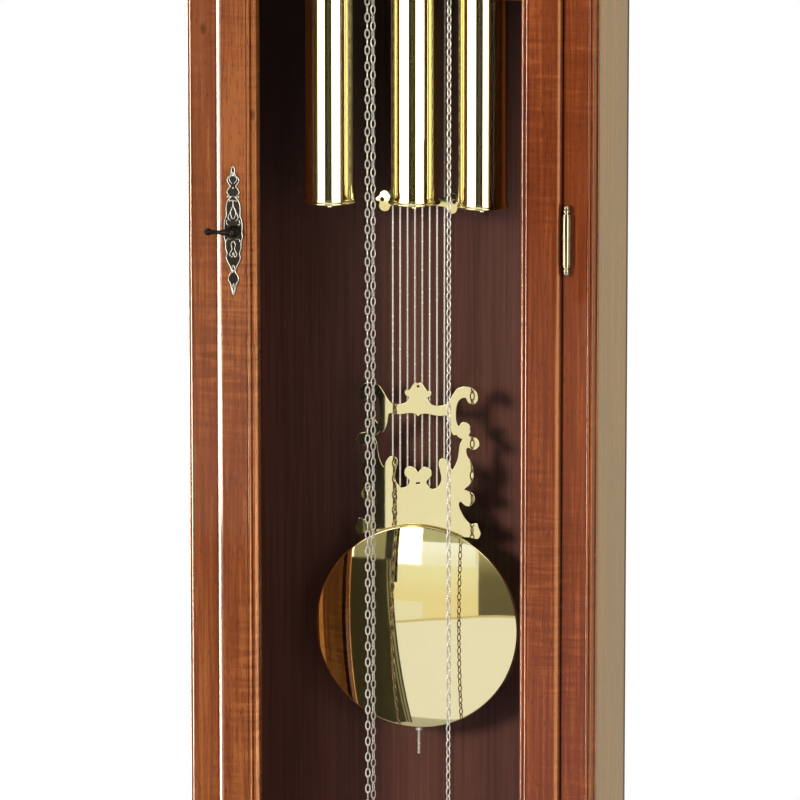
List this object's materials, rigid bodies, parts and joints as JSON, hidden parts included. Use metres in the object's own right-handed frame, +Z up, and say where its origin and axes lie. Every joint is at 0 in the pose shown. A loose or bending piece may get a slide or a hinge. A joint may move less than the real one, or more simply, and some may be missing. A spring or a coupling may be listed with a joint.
{
  "type": "longcase clock",
  "caption": "Tall floor clock with a glazed trunk door, chain-hung brass weights, a lyre pendulum that swings, a going train, hands and a hinged hood door.",
  "frame": {"origin": "middle of the clock's footprint on the floor: centre of the bounding box's bottom face", "axes": "+Z up the clock, the dial and the door face -Y, +X to the right seen from the front"},
  "size_m": [0.4804, 0.2266, 2],
  "materials": {
    "cherry_wood": "satin",
    "dark_wood": "satin",
    "clear_glass": "gloss",
    "polished_brass": "polished",
    "dark_bronze": "antique",
    "blued_steel": "satin",
    "silvered_dial": "satin",
    "steel": "satin",
    "iron": "rough"
  },
  "bodies": {
    "case": {"levelling_feet": "steel", "plinth": "cherry_wood", "base_front_panel": "cherry_wood", "base_carcass": "cherry_wood", "waist_mouldings": "cherry_wood", "trunk_face_frame": "cherry_wood", "trunk_sides": "cherry_wood", "backboard": "dark_wood", "hood_sides": "cherry_wood", "hood_frame": "cherry_wood", "cornice": "cherry_wood", "roof_board": "cherry_wood", "seatboard": "dark_wood", "hinge_case_leaves": "polished_brass", "dial": "silvered_dial", "movement_plates": "polished_brass", "movement_pillars": "polished_brass", "movement_brackets": "polished_brass", "chime_rods": "steel", "strike_chain": "steel", "time_chain": "steel", "chime_chain": "steel"},
    "trunk_door": {"door_left_stile": "cherry_wood", "door_right_stile": "cherry_wood", "door_rails": "cherry_wood", "trunk_door_glass": "clear_glass", "trunk_glass_beads": "cherry_wood", "door_hinge_leaves": "polished_brass", "escutcheon": "dark_bronze"},
    "door_key": {"door_key": "dark_bronze"},
    "hood_door": {"hood_door_frame": "cherry_wood", "hood_door_glass": "clear_glass", "hood_door_fittings": "polished_brass"},
    "pendulum": {"pendulum_leader": "polished_brass", "harp": "polished_brass", "lyre": "polished_brass", "bob": "polished_brass"},
    "rating_nut": {"rating_nut": "polished_brass"},
    "anchor": {"anchor": "steel"},
    "centre_wheel": {"centre_wheel": "polished_brass"},
    "second_wheel": {"second_wheel": "polished_brass"},
    "time_great_wheel": {"time_great_wheel": "polished_brass"},
    "third_wheel": {"third_wheel": "polished_brass"},
    "escape_wheel": {"escape_wheel": "polished_brass"},
    "minute_hand": {"minute_hand": "blued_steel"},
    "minute_wheel": {"minute_wheel": "polished_brass"},
    "hour_hand": {"hour_hand": "blued_steel"},
    "strike_weight": {"strike_weight_shell": "polished_brass", "strike_weight_core": "iron"},
    "strike_sprocket": {"strike_sprocket": "polished_brass"},
    "strike_chain_end": {"strike_chain_end_ring": "steel"},
    "time_weight": {"time_weight_shell": "polished_brass", "time_weight_core": "iron"},
    "time_sprocket": {"time_sprocket": "polished_brass"},
    "time_chain_end": {"time_chain_end_ring": "steel"},
    "chime_weight": {"chime_weight_shell": "polished_brass", "chime_weight_core": "iron"},
    "chime_sprocket": {"chime_sprocket": "polished_brass"},
    "chime_chain_end": {"chime_chain_end_ring": "steel"},
    "chime_hammers": {"chime_hammers": "steel"}
  },
  "joints": [
    {"name": "trunk_door_hinge", "type": "hinge", "parent": "case", "child": "trunk_door", "pos_m": [0.1618, -0.06505, 0.92], "axis": [0, 0, 1], "range_deg": [0, 110]},
    {"name": "door_key_turn", "type": "hinge", "parent": "trunk_door", "child": "door_key", "pos_m": [-0.1385, -0.06065, 1.2015], "axis": [0, 1, 0], "range_deg": [0, 90]},
    {"name": "hood_door_hinge", "type": "hinge", "parent": "case", "child": "hood_door", "pos_m": [0.1648, -0.08755, 1.732], "axis": [0, 0, 1], "range_deg": [0, 100]},
    {"name": "pendulum_swing", "type": "hinge", "parent": "case", "child": "pendulum", "pos_m": [0, 0.05735, 1.755], "axis": [0, 1, 0], "range_deg": [-2.5, 2.5]},
    {"name": "rating_nut_turn", "type": "hinge", "parent": "pendulum", "child": "rating_nut", "pos_m": [0, 0.06635, 0.72], "axis": [0, 0, 1], "continuous": true},
    {"name": "anchor_rock", "type": "hinge", "parent": "case", "child": "anchor", "pos_m": [0, 0.01435, 1.755], "axis": [0, 1, 0], "range_deg": [-2.5, 2.5]},
    {"name": "centre_wheel_spin", "type": "hinge", "parent": "case", "child": "centre_wheel", "pos_m": [0, 0.02035, 1.687], "axis": [0, 1, 0], "continuous": true},
    {"name": "second_wheel_spin", "type": "hinge", "parent": "case", "child": "second_wheel", "pos_m": [-0.01905, 0.02035, 1.66514], "axis": [0, 1, 0], "continuous": true},
    {"name": "time_great_wheel_spin", "type": "hinge", "parent": "case", "child": "time_great_wheel", "pos_m": [-0.0124, 0.02335, 1.632], "axis": [0, 1, 0], "continuous": true},
    {"name": "third_wheel_spin", "type": "hinge", "parent": "case", "child": "third_wheel", "pos_m": [0.02001, 0.02035, 1.70799], "axis": [0, 1, 0], "continuous": true},
    {"name": "escape_wheel_spin", "type": "hinge", "parent": "case", "child": "escape_wheel", "pos_m": [0, 0.00935, 1.7267], "axis": [0, 1, 0], "continuous": true},
    {"name": "minute_hand_turn", "type": "hinge", "parent": "case", "child": "minute_hand", "pos_m": [0, -0.05365, 1.687], "axis": [0, 1, 0], "continuous": true},
    {"name": "minute_wheel_spin", "type": "hinge", "parent": "case", "child": "minute_wheel", "pos_m": [0.01393, -0.01565, 1.67725], "axis": [0, 1, 0], "continuous": true},
    {"name": "hour_hand_turn", "type": "hinge", "parent": "case", "child": "hour_hand", "pos_m": [0, -0.04965, 1.687], "axis": [0, 1, 0], "continuous": true},
    {"name": "strike_weight_drop", "type": "slide", "parent": "case", "child": "strike_weight", "axis": [0, 0, -1], "range_m": [0, 0.8], "deforming": ["strike_chain"]},
    {"name": "strike_sprocket_spin", "type": "hinge", "parent": "case", "child": "strike_sprocket", "pos_m": [-0.0519, 0.00535, 1.612], "axis": [0, 1, 0], "range_deg": [-2621, 0]},
    {"name": "strike_chain_end_rise", "type": "slide", "parent": "case", "child": "strike_chain_end", "axis": [0, 0, 1], "range_m": [0, 0.8]},
    {"name": "time_weight_drop", "type": "slide", "parent": "case", "child": "time_weight", "axis": [0, 0, -1], "range_m": [0, 0.8], "deforming": ["time_chain"]},
    {"name": "time_sprocket_spin", "type": "hinge", "parent": "case", "child": "time_sprocket", "pos_m": [-0.0124, 0.01535, 1.632], "axis": [0, 1, 0], "range_deg": [0, 2401]},
    {"name": "time_chain_end_rise", "type": "slide", "parent": "case", "child": "time_chain_end", "axis": [0, 0, 1], "range_m": [0, 0.8]},
    {"name": "chime_weight_drop", "type": "slide", "parent": "case", "child": "chime_weight", "axis": [0, 0, -1], "range_m": [0, 0.8], "deforming": ["chime_chain"]},
    {"name": "chime_sprocket_spin", "type": "hinge", "parent": "case", "child": "chime_sprocket", "pos_m": [0.0551, 0.00935, 1.612], "axis": [0, 1, 0], "range_deg": [0, 2978]},
    {"name": "chime_chain_end_rise", "type": "slide", "parent": "case", "child": "chime_chain_end", "axis": [0, 0, 1], "range_m": [0, 0.8]},
    {"name": "chime_hammers_lift", "type": "hinge", "parent": "case", "child": "chime_hammers", "pos_m": [0.057, 0.05135, 1.72], "axis": [1, 0, 0], "range_deg": [0, 12]}
  ],
  "couplings": [
    {"joint": "anchor_rock", "follows": "pendulum_swing", "ratio": 1},
    {"joint": "second_wheel_spin", "follows": "centre_wheel_spin", "ratio": -0.2},
    {"joint": "time_great_wheel_spin", "follows": "centre_wheel_spin", "ratio": 0.033333},
    {"joint": "third_wheel_spin", "follows": "centre_wheel_spin", "ratio": -8},
    {"joint": "escape_wheel_spin", "follows": "centre_wheel_spin", "ratio": 60},
    {"joint": "minute_hand_turn", "follows": "centre_wheel_spin", "ratio": 1},
    {"joint": "minute_wheel_spin", "follows": "centre_wheel_spin", "ratio": -0.33333},
    {"joint": "hour_hand_turn", "follows": "centre_wheel_spin", "ratio": 0.083333},
    {"joint": "strike_sprocket_spin", "follows": "strike_weight_drop", "rad_per_m": -57.143},
    {"joint": "strike_chain_end_rise", "follows": "strike_weight_drop", "ratio": 1},
    {"joint": "time_sprocket_spin", "follows": "time_weight_drop", "rad_per_m": 52.356},
    {"joint": "time_chain_end_rise", "follows": "time_weight_drop", "ratio": 1},
    {"joint": "chime_sprocket_spin", "follows": "chime_weight_drop", "rad_per_m": 64.935},
    {"joint": "chime_chain_end_rise", "follows": "chime_weight_drop", "ratio": 1}
  ]
}
